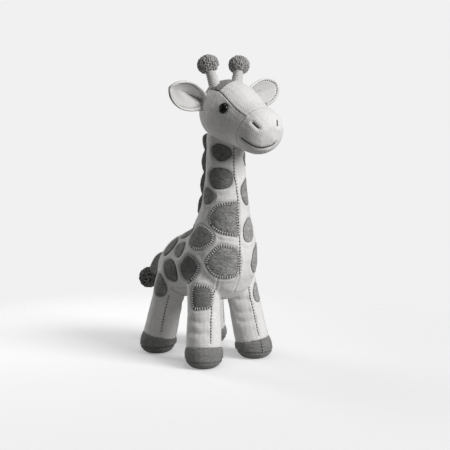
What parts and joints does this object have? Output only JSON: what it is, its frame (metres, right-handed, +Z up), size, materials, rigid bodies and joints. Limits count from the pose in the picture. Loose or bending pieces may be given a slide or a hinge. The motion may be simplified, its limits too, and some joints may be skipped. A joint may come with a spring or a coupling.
{
  "type": "plush giraffe",
  "caption": "Standing stuffed giraffe of pale ribbed cloth with sewn-on dark spots, a scalloped mane, ball-tipped horns, folding ears and a swinging pompom tail.",
  "frame": {"origin": "on the ground under the middle of the toy's outline", "axes": "+Z up, -Y towards the nose, +X towards the toy's own left"},
  "size_m": [0.1656, 0.2224, 0.3466],
  "materials": {
    "pale_cloth": "fine-ribbed knitted cloth",
    "ear_lining_cloth": "fine-ribbed knitted cloth",
    "spot_cloth": "short-pile cloth",
    "hoof_cloth": "short-pile cloth",
    "mane_cloth": "short-pile cloth",
    "looped_yarn": "looped yarn",
    "eye_plastic": "polished",
    "washer_plastic": "moulded"
  },
  "bodies": {
    "body": {"torso": "pale_cloth", "neck": "pale_cloth", "mane": "mane_cloth", "leg_front_right": "pale_cloth", "leg_front_left": "pale_cloth", "leg_rear_right": "pale_cloth", "leg_rear_left": "pale_cloth", "hoof_front_right": "hoof_cloth", "hoof_front_left": "hoof_cloth", "hoof_rear_right": "hoof_cloth", "hoof_rear_left": "hoof_cloth", "sole_front_right": "hoof_cloth", "sole_front_left": "hoof_cloth", "sole_rear_right": "hoof_cloth", "sole_rear_left": "hoof_cloth", "spot_neck_top": "spot_cloth", "spot_neck_middle": "spot_cloth", "spot_neck_low": "spot_cloth", "spot_neck_side": "spot_cloth", "spot_shoulder": "spot_cloth", "spot_chest": "spot_cloth", "spot_flank": "spot_cloth", "spot_hip": "spot_cloth", "spot_back_side": "spot_cloth", "spot_rump_side": "spot_cloth", "spot_back_front": "spot_cloth", "spot_thigh": "spot_cloth", "spot_foreleg": "spot_cloth", "spot_neck_middle_left": "spot_cloth", "spot_chest_left": "spot_cloth", "spot_breast_left": "spot_cloth", "spot_foreleg_left": "spot_cloth", "spot_neck_top_left": "spot_cloth", "spot_neck_low_left": "spot_cloth", "spot_shoulder_left": "spot_cloth", "spot_flank_left": "spot_cloth", "spot_hip_left": "spot_cloth", "spot_back_left": "spot_cloth", "spot_rump_left": "spot_cloth", "spot_back_front_left": "spot_cloth", "spot_thigh_left": "spot_cloth"},
    "head": {"head": "pale_cloth", "muzzle": "pale_cloth", "eye_left": "eye_plastic", "eye_right": "eye_plastic", "eye_washer_left": "washer_plastic", "eye_washer_right": "washer_plastic", "horn_stalk_left": "pale_cloth", "horn_stalk_right": "pale_cloth", "horn_ball_left": "looped_yarn", "horn_ball_right": "looped_yarn", "crown_patch": "spot_cloth"},
    "left_ear": {"ear_left": "pale_cloth", "ear_lining_left": "ear_lining_cloth"},
    "right_ear": {"ear_right": "pale_cloth", "ear_lining_right": "ear_lining_cloth"},
    "tail": {"tail": "mane_cloth", "tail_pompom": "looped_yarn"}
  },
  "joints": [
    {"name": "head_nod", "type": "hinge", "parent": "body", "child": "head", "pos_m": [0.0018, -0.03071, 0.2553], "axis": [1, 0, 0], "range_deg": [-10, 10], "stiffness_Nm_per_rad": 1, "springref_deg": -0.57},
    {"name": "left_ear_fold", "type": "hinge", "parent": "head", "child": "left_ear", "pos_m": [0.03305, -0.02801, 0.29735], "axis": [0.4533, 0.4204, -0.786], "range_deg": [-20, 35], "stiffness_Nm_per_rad": 0.03},
    {"name": "right_ear_fold", "type": "hinge", "parent": "head", "child": "right_ear", "pos_m": [-0.03084, -0.02801, 0.29344], "axis": [0.3001, -0.3392, 0.8916], "range_deg": [-20, 35], "stiffness_Nm_per_rad": 0.03},
    {"name": "tail_swing", "type": "hinge", "parent": "body", "child": "tail", "pos_m": [0.0018, 0.06292, 0.12527], "axis": [1, 0, 0], "range_deg": [0, 60], "stiffness_Nm_per_rad": 0.03}
  ]
}
